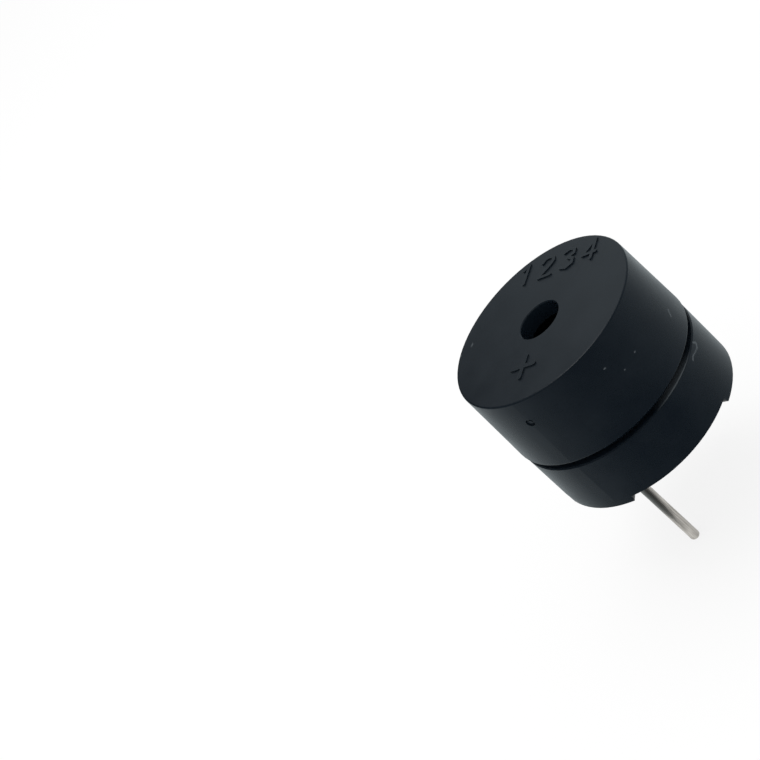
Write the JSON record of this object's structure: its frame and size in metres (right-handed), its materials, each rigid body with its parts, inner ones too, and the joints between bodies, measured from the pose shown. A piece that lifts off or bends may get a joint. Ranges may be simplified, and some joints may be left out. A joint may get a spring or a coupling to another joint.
{
  "type": "magnetic buzzer",
  "caption": "Small round magnetic buzzer with a moulded black case, a central sound hole in the top face and straight wire pins for a circuit board below.",
  "frame": {"origin": "centre of the seat plane, the plane the three feet stand on, midway between the two pins", "axes": "+Z along the body axis towards the sound hole; the pins lie on the X axis and point to -Z, the longer positive pin at +X"},
  "size_m": [0.012, 0.012, 0.0155],
  "materials": {
    "case_cap": "fine moulded satin",
    "case_ring": "fine moulded satin",
    "spring_steel": "rolled, bright",
    "soft_iron_disc": "plated, satin",
    "magnet": "pressed and sintered, matt dark grey",
    "pole": "turned soft iron",
    "yoke": "stamped, zinc plated",
    "film": "thin amber insulating film",
    "drive_wire": "enamelled copper wire, wound",
    "feedback_wire": "enamelled copper wire, wound",
    "lead_wire": "enamelled copper wire",
    "board": "phenolic board, satin",
    "copper": "etched copper foil",
    "chip_resin": "moulded epoxy, matt black",
    "chip_legs": "tinned",
    "chip_ceramic": "glazed black",
    "chip_caps": "tinned",
    "pin_plus": "tinned copper-steel wire, satin",
    "pin_minus": "tinned copper-steel wire, satin",
    "solder_cones": "soft solder, bright",
    "solder_beads": "soft solder, bright",
    "resin": "cured epoxy, glossy black"
  },
  "bodies": {
    "root": {"upper_case": "case_cap", "lower_case": "case_ring", "diaphragm": "spring_steel", "armature_disc": "soft_iron_disc", "ring_magnet": "magnet", "iron_core": "pole", "yoke_plate": "yoke", "coil_insulator": "film", "drive_winding": "drive_wire", "feedback_winding": "feedback_wire", "coil_leads": "lead_wire", "circuit_board": "board", "copper_tracks": "copper", "transistor_body": "chip_resin", "transistor_legs": "chip_legs", "resistor_body": "chip_ceramic", "resistor_ends": "chip_caps", "positive_pin": "pin_plus", "negative_pin": "pin_minus", "pin_solder": "solder_cones", "wire_solder": "solder_beads", "potting": "resin"}
  },
  "joints": []
}
